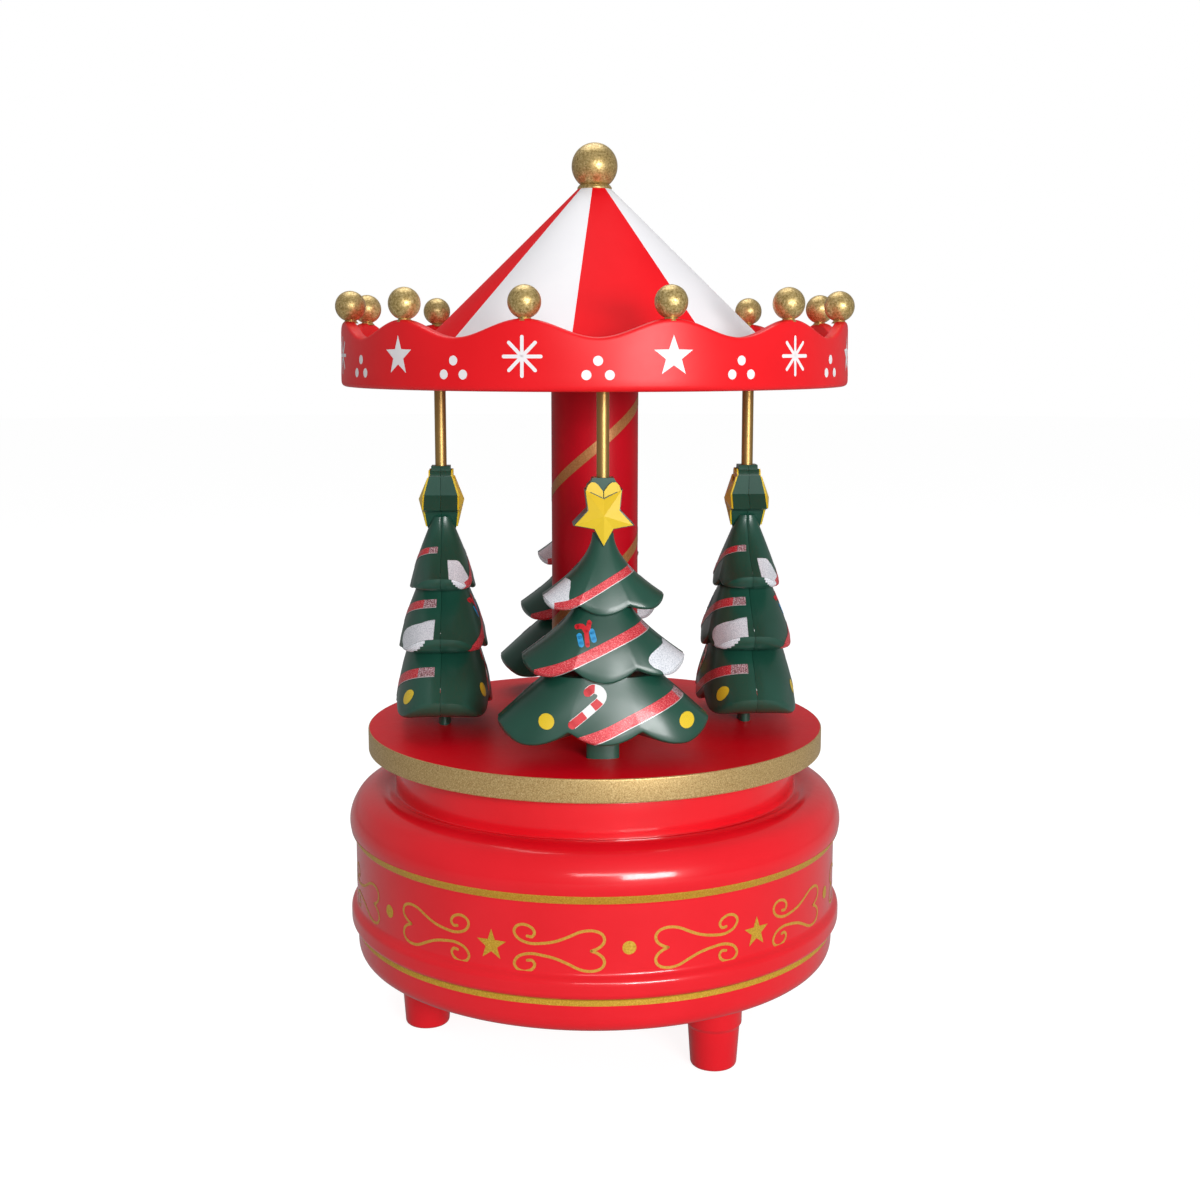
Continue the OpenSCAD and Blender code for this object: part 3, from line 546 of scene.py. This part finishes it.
def tip_share(u):
    """1 at a tip, falling to 0 at the middle of the side lobe; u is the share of the half width."""
    s = min((1 - abs(u)) / (1 - lobe_at), 1.0)
    return 1 - math.sin(math.pi / 2 * s ** 1.15)


def hem_drop(t, u):
    """How far the hem hangs below the tip."""
    u = abs(u)
    if u >= lobe_at:
        return t.lobe * (1 - tip_share(u))
    if u >= t.notch:
        return t.lobe - (t.lobe - t.valley) * ((lobe_at - u) / (lobe_at - t.notch)) ** 2
    return t.mid - (t.mid - t.valley) * (u / t.notch) ** 2


def tier_point(t, a, s, inset_x=0.0, inset_y=0.0, drop=0.0):
    """A point at angle a from the viewer's right and share s of the way down."""
    u = math.cos(math.radians(a))
    v = max(1 - abs(u) ** square, 0.0) ** (1 / square)
    crease_w = t.notch if abs(u) < t.notch else crease_reach
    crease = 0.5 + 0.5 * math.cos(math.pi * min(abs(abs(u) - t.notch) / crease_w, 1.0))
    wide = t.top_w + (t.w - t.top_w) * s ** t.flare - inset_x
    deep = t.top_d + (t.d - t.top_d) * s ** 1.1 - inset_y - crease * crease_depth * s * s * s
    seam = seam_depth * max(0.0, 1 - v / seam_reach)
    hem = t.tip_z - hem_drop(t, u) + lip * 0.8 * (1 - tip_share(u))
    z = t.top_z + (t.tip_z - t.top_z) * s + (hem - t.tip_z) * s ** hem_power - drop
    return ((wide - seam) * u, deep * v + seam_gap, z)


def tier_rows_of(t):
    """Rows of points: down the face, round the lip, and in under the tier."""
    rows = [[tier_point(t, 180 * i / turn_steps, j / tier_rows) for i in range(turn_steps + 1)]
            for j in range(tier_rows + 1)]
    for j in range(1, lip_rows + 1):
        phi = math.pi / 2 * j / lip_rows
        row = []
        for i in range(turn_steps + 1):
            a = 180 * i / turn_steps
            share = tip_share(math.cos(math.radians(a)))
            row.append(tier_point(t, a, 1.0, (lip + (t.reach - lip) * share) * (1 - math.cos(phi)),
                                  lip * (1 - math.cos(phi)),
                                  (lip * 0.8 + (t.drop - lip * 0.8) * share) * math.sin(phi)))
        rows.append(row)
    rows.append([(p[0] * 0.8, p[1] * 0.8, p[2] + 0.3) for p in rows[-1]])
    rows.append([(p[0] * 0.4, p[1] * 0.4, t.tip_z - t.lobe + 1.5) for p in rows[-1]])
    return rows


def tier_shell(t):
    rows = tier_rows_of(t)
    n = turn_steps + 1
    verts = [p for row in rows for p in row]
    faces = [(j * n + i, (j + 1) * n + i, (j + 1) * n + i + 1, j * n + i + 1)
             for j in range(len(rows) - 1) for i in range(turn_steps)]
    faces.append(tuple(range(n)))
    return verts, faces


def prism(outline, y0, y1):
    """An upright block: an outline of (x, z) from y0 to y1."""
    n = len(outline)
    verts = [(x, y0, z) for x, z in outline] + [(x, y1, z) for x, z in outline]
    faces = [(i, (i + 1) % n, n + (i + 1) % n, n + i) for i in range(n)]
    faces += [tuple(reversed(range(n))), tuple(range(n, 2 * n))]
    return verts, [tuple(reversed(f)) for f in faces]


def tree_piece(name, verts, faces, material):
    """A mesh of a half tree. It takes x the other way round, so that x, y and z are right-handed."""
    mesh = bpy.data.meshes.new(name)
    turned = [tuple(reversed(f)) for f in faces]
    mesh.from_pydata([(-x * MM, y * MM, z * MM) for x, y, z in verts], [], turned)
    mesh.materials.append(material)
    mesh.update()
    return mesh


star_z, star_out, star_in, star_top = 106.6, 5.75, 3.05, 4.5
star_line = star_outline(star_out, star_in, -90, 0, star_z)


def star_depth(z):
    """How far the star's green block stands out at a height: most at its middle."""
    return 3.5 - (0.28 * (z - star_z) if z > star_z else 0.12 * (star_z - z))


def star_block(line, y0, proud, peak):
    """A star's block from y0 to its face, which rises to a peak in the middle."""
    n = len(line)
    verts = [(x, y0(z), z) for x, z in line] + [(x, star_depth(z) + proud, z) for x, z in line]
    verts.append((0.0, peak, star_z))
    faces = [(n + i, n + (i + 1) % n, (i + 1) % n, i) for i in range(n)]
    faces += [(2 * n, n + (i + 1) % n, n + i) for i in range(n)]
    return verts, faces


ear = [(-3.0, 110.0), (-3.1, 111.0), (-2.8, 111.9), (-2.2, 112.45), (-1.5, 112.4), (-0.95, 112.0),
       (-0.1, 110.85), (-0.05, 109.4), (-1.5, 109.0)]
plug_w, plug_t, plug_low, plug_high = 3.05, 1.25, 59.2, 67.0
plug = [(-plug_w * math.cos(math.radians(a)), plug_t * math.sin(math.radians(a)) ** 0.7)
        for a in range(0, 181, 9)]
plug_part = ([(x, y, z) for z in (plug_low, plug_high) for x, y in plug],
             [(len(plug) + i, len(plug) + i + 1, i + 1, i) for i in range(len(plug) - 1)])
socket_line = [(-2.5, 108.5), (2.5, 108.5), (2.7, 111.6), (1.9, 113.2), (-1.9, 113.2), (-2.7, 111.6)]
left_ear = list(reversed(ear))
right_ear = [(-x, z) for x, z in ear]
socket_y, ear_y = 1.85, 2.1
tree_parts = [tier_shell(t) for t in tiers]
tree_parts += [star_block(star_line, lambda z: seam_gap, 0.0, star_depth(star_z)),
               prism(socket_line, seam_gap, socket_y), prism(left_ear, seam_gap, ear_y),
               prism(right_ear, seam_gap, ear_y), plug_part]
tree_mesh = tree_piece("tree_half", *joined(*tree_parts), green)
tree_mesh.shade_smooth()
tree_mesh.set_sharp_from_angle(angle=math.radians(38))

# The yellow star and ears on the face, a little smaller than the green block behind them
scale = 0.95
small = [(x * scale, star_z + (z - star_z) * scale) for x, z in star_line]
star_parts = [star_block(small, lambda z: star_depth(z) - 0.1, 0.3, star_top),
              prism(left_ear, ear_y - 0.05, ear_y + 0.25), prism(right_ear, ear_y - 0.05, ear_y + 0.25)]
star_mesh = tree_piece("tree_star", *joined(*star_parts), yellow)


def clip(poly, tri):
    """The part of a convex shape inside a triangle, both flat and running counter-clockwise."""
    out = poly
    for i in range(3):
        a, b = tri[i], tri[(i + 1) % 3]
        ex, ez = b[0] - a[0], b[1] - a[1]
        keep, prev = [], out[-1] if out else None
        for cur in out:
            sc = ex * (cur[1] - a[1]) - ez * (cur[0] - a[0])
            sp = ex * (prev[1] - a[1]) - ez * (prev[0] - a[0])
            if (sc >= 0) != (sp >= 0):
                f = sp / (sp - sc)
                keep.append((prev[0] + (cur[0] - prev[0]) * f, prev[1] + (cur[1] - prev[1]) * f))
            if sc >= 0:
                keep.append(cur)
            prev = cur
        out = keep
        if not out:
            break
    return out


def tier_triangles(t):
    """A tier's printable triangles as (x, z), each with a point, its normal and its angle."""
    tris = []
    rows = tier_rows_of(t)[:-2]
    for upper, lower in zip(rows, rows[1:]):
        for i in range(turn_steps):
            q = [upper[i], upper[i + 1], lower[i + 1], lower[i]]
            for tri in ((q[0], q[1], q[2]), (q[0], q[2], q[3])):
                p = [Vector(v) for v in tri]
                normal = (p[1] - p[0]).cross(p[2] - p[0])
                if normal.length < 1e-9:
                    continue
                normal.normalize()
                if normal.y < 0:
                    normal = -normal
                if normal.y < (0.01 if lower in rows[:tier_rows + 1] else 0.25):
                    continue
                flat = [(v.x, v.z) for v in p]
                (ax, az), (bx, bz), (cx, cz) = flat
                if (bx - ax) * (cz - az) < (cx - ax) * (bz - az):
                    flat = [flat[0], flat[2], flat[1]]
                tris.append((flat, p[0], normal, 180 * (i + 0.5) / turn_steps))
    return tris


tier_tris = [tier_triangles(t) for t in tiers]


def on_tier(shape, which, proud=0.05, first=0, last=180):
    """Prints flat artwork of (x, z) straight onto a tier's face, between two of its angles."""
    pts, faces = shape
    verts, out = [], []
    for f in faces:
        poly = [pts[i] for i in f]
        area = sum(poly[i - 1][0] * poly[i][1] - poly[i][0] * poly[i - 1][1] for i in range(len(poly)))
        if area < 0:
            poly.reverse()
        lo = (min(p[0] for p in poly), min(p[1] for p in poly))
        hi = (max(p[0] for p in poly), max(p[1] for p in poly))
        for flat, origin, normal, turn in tier_tris[which]:
            if turn < first or turn > last:
                continue
            if max(q[0] for q in flat) < lo[0] or min(q[0] for q in flat) > hi[0]:
                continue
            if max(q[1] for q in flat) < lo[1] or min(q[1] for q in flat) > hi[1]:
                continue
            part = clip(poly, flat)
            if len(part) < 3:
                continue
            base = len(verts)
            for x, z in part:
                y = origin.y - (normal.x * (x - origin.x) + normal.z * (z - origin.z)) / normal.y
                p = Vector((x, y, z)) + normal * proud
                verts.append((p.x, max(p.y, seam_gap), p.z))
            out.append(tuple(reversed(range(base, len(verts)))))
    return verts, out


def band(path, height, drop=0.0, steps=6):
    """A band of a given upright height along a smooth path."""
    pts, faces = [], []
    line = spline(path, steps)
    for x, z in line:
        pts += [(x, z - drop - height / 2), (x, z - drop + height / 2)]
    faces = [(2 * i, 2 * i + 2, 2 * i + 3, 2 * i + 1) for i in range(len(line) - 1)]
    return pts, faces


# Each band rises to the right and ends at the seam in a speckled stretch
bands = [(0, [(-8.9, 90.3), (-6.0, 91.0), (-2.3, 92.9), (1.6, 95.2), (6.2, 97.7), (8.0, 98.6)], 1.65),
         (1, [(-12.6, 78.3), (-7.9, 79.8), (-2.9, 82.0), (3.2, 84.9), (8.3, 87.2), (11.0, 88.5)], 2.05),
         (2, [(-6.0, 66.0), (-0.2, 68.0), (4.4, 70.2), (10.0, 72.8), (15.0, 75.1), (18.5, 76.6)], 2.3)]
speckle_turn = 22  # degrees from the seam
line_t = 0.14
red_art, line_art, end_art = [], [], []
for which, path, height in bands:
    red_art.append(on_tier(band(path, height), which, 0.06, first=speckle_turn))
    end_art.append(on_tier(band(path, height), which, 0.06, last=speckle_turn))
    line_art.append(on_tier(band(path, line_t, height / 2), which, 0.07))

left_snow = spline([(-12.5, 95.0), (-6.6, 95.2), (-6.0, 94.2), (-6.3, 92.4), (-6.2, 90.0), (-8.0, 87.5),
                    (-12.5, 87.5), (-12.8, 92.0)], 4)
right_snow = spline([(17.0, 86.0), (11.0, 85.4), (10.7, 83.7), (9.5, 82.9), (8.2, 82.0), (7.8, 80.9),
                     (8.7, 79.8), (10.2, 79.0), (11.6, 77.0), (17.0, 76.0)], 4)
snow_art = [on_tier(fan(left_snow, 4), 0, last=173), on_tier(fan(right_snow, 4), 1)]
dot_art = [on_tier(round_dot(-10.5, 70.3, 1.4, 28), 2), on_tier(round_dot(14.8, 69.9, 1.4, 28), 2)]
# A gift: two blue strips, and a red ribbon with a two-looped bow between them
blue_art = [on_tier(stroke([(-4.2, 84.0), (-4.5, 85.4)], 1.0), 1),
            on_tier(stroke([(-1.95, 84.8), (-2.3, 86.2)], 1.0), 1)]
bow_art = [on_tier(stroke([(-3.1, 83.9), (-3.3, 86.3)], 0.8), 1),
           on_tier(stroke(spline([(-3.3, 86.1), (-3.9, 87.0), (-4.9, 86.9)], 5), 0.85), 1, 0.06),
           on_tier(stroke(spline([(-3.3, 86.1), (-2.9, 86.9), (-2.7, 87.7)], 5), 0.85), 1, 0.07)]
cane = spline([(-5.9, 69.8), (-4.0, 71.3), (-2.2, 72.8), (-0.95, 73.9), (-0.55, 74.9), (-1.1, 75.75),
               (-2.2, 76.0), (-3.1, 75.4)], 6)
cane_w = 1.5
# The steps of the cane's curve where its colour changes; the second and fourth stretches are white
cane_cuts = [0, 7, 12, 18, 34, len(cane) - 1]
cane_red, cane_pale = [], [on_tier(stroke(cane, cane_w + 0.15, False), 2, 0.035)]
for k, (start, end) in enumerate(zip(cane_cuts, cane_cuts[1:])):
    piece = on_tier(stroke(cane[start:end + 1], cane_w, False), 2)
    (cane_pale if k in (1, 3) else cane_red).append(piece)
for x, z in (cane[0], cane[-1]):
    cane_red.append(on_tier(round_dot(x, z, cane_w / 2), 2))

art_groups = {"bands": (glitter_red, red_art), "band_lines": (silver, line_art),
              "band_ends": (speckle, end_art), "snow": (snow, snow_art), "dots": (yellow, dot_art),
              "gift_boxes": (blue, blue_art), "gift_bow": (ribbon, bow_art),
              "cane_red": (ribbon, cane_red), "cane_white": (cane_white, cane_pale)}
art_meshes = {}
for name, (mat, parts) in art_groups.items():
    art_meshes[name] = tree_piece(f"tree_{name}", *joined(*parts), mat)

rod_r, rod_low, rod_high = 1.13, 104.0, 134.5
for k in range(4):
    number = (k + 3) % 4 + 1  # the front tree is number 4
    az = math.radians(tree_az + 90 * k)
    out = Vector((math.sin(az), -math.cos(az), 0))
    for side, sign in (("outer", 1), ("inner", -1)):
        y_axis = out * sign
        x_axis = y_axis.cross(Vector((0, 0, 1)))
        at = Matrix.Identity(4)
        for row in range(3):
            at[row][0], at[row][1], at[row][2] = x_axis[row], y_axis[row], (0, 0, 1)[row]
            at[row][3] = out[row] * tree_ring_r * MM
        cad = f"tree_{number}_{side}"
        place(f"{cad}_looks", tree_mesh, "rotor", [cad], at)
        place(f"{cad}_star", star_mesh, "rotor", (), at)
        for name, mesh in art_meshes.items():
            place(f"{cad}_{name}", mesh, "rotor", (), at)
    rod_axis = (out.x * tree_ring_r, out.y * tree_ring_r)
    verts, faces, _ = revolve([(rod_r, rod_low), (rod_r, rod_high)], 40, axis=rod_axis)
    add_object(f"rod_{number}_looks", verts, faces, brass, "rotor", [f"rod_{number}"], smooth=60)

# ------------------------------------------------------------------ CAD pieces that are shown as they are

# Any other CAD piece is steel
shown = {"bottom_plate": red, "wind_key": gear_brass, "tune_cylinder": gear_brass,
         "cylinder_pinion": gear_brass, "cylinder_wheel": gear_brass, "governor_pinion": gear_brass,
         "spring_barrel": gear_brass, "barrel_cover": gear_brass, "bedplate": zinc, "comb_block": zinc,
         "cylinder_bearing": zinc, "governor_bearing": zinc, "outer_bearing": zinc, "governor_frame": zinc,
         "mainspring": dark_steel, "click_spring": dark_steel, "worm_wheel": nylon, "governor_fan": nylon}
for name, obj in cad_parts.items():
    obj.data.materials.clear()
    obj.data.materials.append(shown.get(name, steel))

# ------------------------------------------------------------------ camera, lights

scene = bpy.context.scene
cam_data = bpy.data.cameras.new("camera")
cam_data.sensor_width = 36.0
cam_data.lens = 48.48
cam_data.clip_start, cam_data.clip_end = 0.01, 10
cam = bpy.data.objects.new("camera", cam_data)
scene.collection.objects.link(cam)
cam.location = (1.04 * MM, -320 * MM, 136.46 * MM)
cam_down = 8.94  # degrees below level
cam.rotation_euler = (math.radians(90 - cam_down), 0.0, 0.0)
scene.camera = cam


def area_light(name, place_mm, target_mm, size, power, size_y=None, shiny=True):
    data = bpy.data.lights.new(name, "AREA")
    data.energy = power
    data.size = size * MM
    if size_y:
        data.shape = "RECTANGLE"
        data.size_y = size_y * MM
    obj = bpy.data.objects.new(name, data)
    scene.collection.objects.link(obj)
    obj.location = Vector(place_mm) * MM
    obj.rotation_mode = "QUATERNION"
    obj.rotation_quaternion = (Vector(target_mm) - Vector(place_mm)).to_track_quat("-Z", "Y")
    obj.visible_glossy = shiny


area_light("key_softbox", (232, -544, 175), (0, 0, 80), 230, 2.3, size_y=120)
area_light("front_softbox", (60, -560, 250), (0, 0, 80), 300, 0.6, size_y=70)
area_light("top_softbox", (-40, 160, 620), (0, 0, 100), 420, 1.5)
area_light("left_strip", (-480, 60, 130), (0, 0, 90), 120, 0.25, size_y=420, shiny=False)
area_light("right_strip", (480, 120, 130), (0, 0, 90), 120, 0.2, size_y=420, shiny=False)

floor_z, floor_r = -0.05, 3000
floor_verts, floor_faces = fan(circle(0.0, 0.0, floor_r, 64), 2)
floor_mesh = bpy.data.meshes.new("floor")
floor_mesh.from_pydata([(x * MM, y * MM, floor_z * MM) for x, y in floor_verts], [], floor_faces)
floor_mat = new_material("pale_floor", (0.30, 0.30, 0.30), 0.8, specular=0.0)
# The floor looks nearly white to the camera, and throws less light on the object than that
floor_shader = floor_mat.node_tree.nodes["Principled BSDF"]
floor_shader.inputs["Emission Color"].default_value = (1, 1, 1, 1)
seen = floor_mat.node_tree.nodes.new("ShaderNodeLightPath")
glow = floor_mat.node_tree.nodes.new("ShaderNodeMapRange")
glow.inputs["To Min"].default_value = 0.12
glow.inputs["To Max"].default_value = 0.9
floor_mat.node_tree.links.new(seen.outputs["Is Camera Ray"], glow.inputs["Value"])
floor_mat.node_tree.links.new(glow.outputs["Result"], floor_shader.inputs["Emission Strength"])
floor_mesh.materials.append(floor_mat)
floor = bpy.data.objects.new("floor", floor_mesh)
scene.collection.objects.link(floor)

world = bpy.data.worlds.new("studio")
scene.world = world
world.use_nodes = True
tree = world.node_tree
tree.nodes.clear()
out_node = tree.nodes.new("ShaderNodeOutputWorld")
path = tree.nodes.new("ShaderNodeLightPath")
mix = tree.nodes.new("ShaderNodeMixShader")
fill = tree.nodes.new("ShaderNodeBackground")
fill.inputs["Color"].default_value = (1, 1, 1, 1)
fill.inputs["Strength"].default_value = 0.30
backdrop = tree.nodes.new("ShaderNodeBackground")
backdrop.inputs["Color"].default_value = (1, 1, 1, 1)
backdrop.inputs["Strength"].default_value = 1.0
tree.links.new(path.outputs["Is Camera Ray"], mix.inputs[0])
tree.links.new(fill.outputs[0], mix.inputs[1])
tree.links.new(backdrop.outputs[0], mix.inputs[2])
tree.links.new(mix.outputs[0], out_node.inputs["Surface"])

scene.view_settings.view_transform = "Standard"
scene.view_settings.look = "None"
